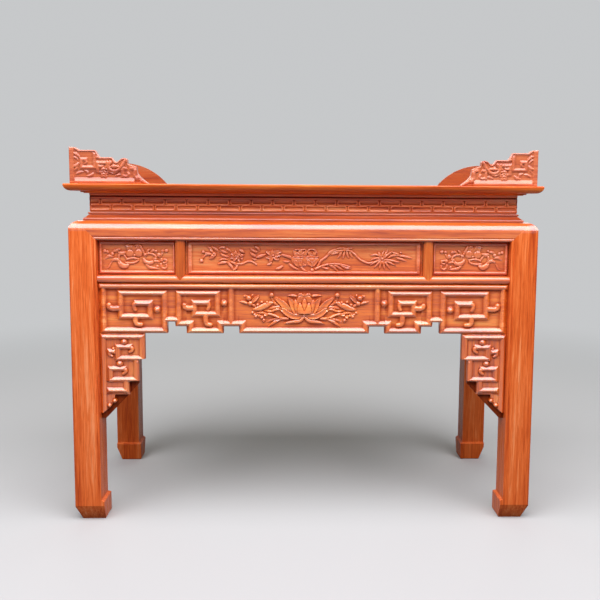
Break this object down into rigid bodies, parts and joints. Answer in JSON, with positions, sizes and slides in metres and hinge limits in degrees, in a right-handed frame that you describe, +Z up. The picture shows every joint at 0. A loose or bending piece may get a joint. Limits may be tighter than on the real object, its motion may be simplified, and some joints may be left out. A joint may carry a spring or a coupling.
{
  "type": "altar table",
  "caption": "Carved wooden altar table with square legs, waisted neck, stepped fret apron with lotus carving, corner brackets and raised wings on both ends of the top.",
  "frame": {"origin": "on the floor, under the middle of the table", "axes": "+X to the right along the table's length, +Y to the back, +Z up"},
  "size_m": [1.75, 0.81, 1.401],
  "materials": {
    "frame_wood": "glossy clear lacquer over red-orange hardwood with strong grain",
    "carved_wood": "glossy clear lacquer over carved red-orange hardwood",
    "top_wood": "glossy clear lacquer over red-orange hardwood boards",
    "inner_wood": "bare planed hardwood, not lacquered"
  },
  "bodies": {
    "root": {"apron_back": "carved_wood", "apron_front": "carved_wood", "apron_left": "carved_wood", "apron_right": "carved_wood", "bracket_left": "carved_wood", "bracket_right": "carved_wood", "cross_stretcher_left": "inner_wood", "cross_stretcher_right": "inner_wood", "frieze_panel_back": "carved_wood", "frieze_panel_front_centre": "carved_wood", "frieze_panel_front_left": "carved_wood", "frieze_panel_front_right": "carved_wood", "frieze_panel_left": "carved_wood", "frieze_panel_right": "carved_wood", "leg_back_left": "frame_wood", "leg_back_right": "frame_wood", "leg_front_left": "frame_wood", "leg_front_right": "frame_wood", "mid_rail_back": "frame_wood", "mid_rail_front": "frame_wood", "mid_rail_left": "frame_wood", "mid_rail_pegs": "inner_wood", "mid_rail_right": "frame_wood", "muntin_left": "frame_wood", "muntin_right": "frame_wood", "neck_back": "carved_wood", "neck_base_back": "frame_wood", "neck_base_dowels": "inner_wood", "neck_base_front": "frame_wood", "neck_base_left": "frame_wood", "neck_base_right": "frame_wood", "neck_corner_blocks": "inner_wood", "neck_front": "carved_wood", "neck_left": "carved_wood", "neck_right": "carved_wood", "top_batten_centre": "inner_wood", "top_batten_left": "inner_wood", "top_batten_right": "inner_wood", "top_board_back": "top_wood", "top_board_front": "top_wood", "top_board_middle": "top_wood", "top_frame_back": "top_wood", "top_frame_front": "top_wood", "top_frame_left": "top_wood", "top_frame_right": "top_wood", "top_rail_back": "frame_wood", "top_rail_front": "frame_wood", "top_rail_left": "frame_wood", "top_rail_right": "frame_wood", "wing_back_left": "carved_wood", "wing_back_right": "carved_wood", "wing_dowels": "inner_wood", "wing_front_left": "carved_wood", "wing_front_right": "carved_wood", "wing_side_left": "carved_wood", "wing_side_right": "carved_wood"}
  },
  "joints": []
}
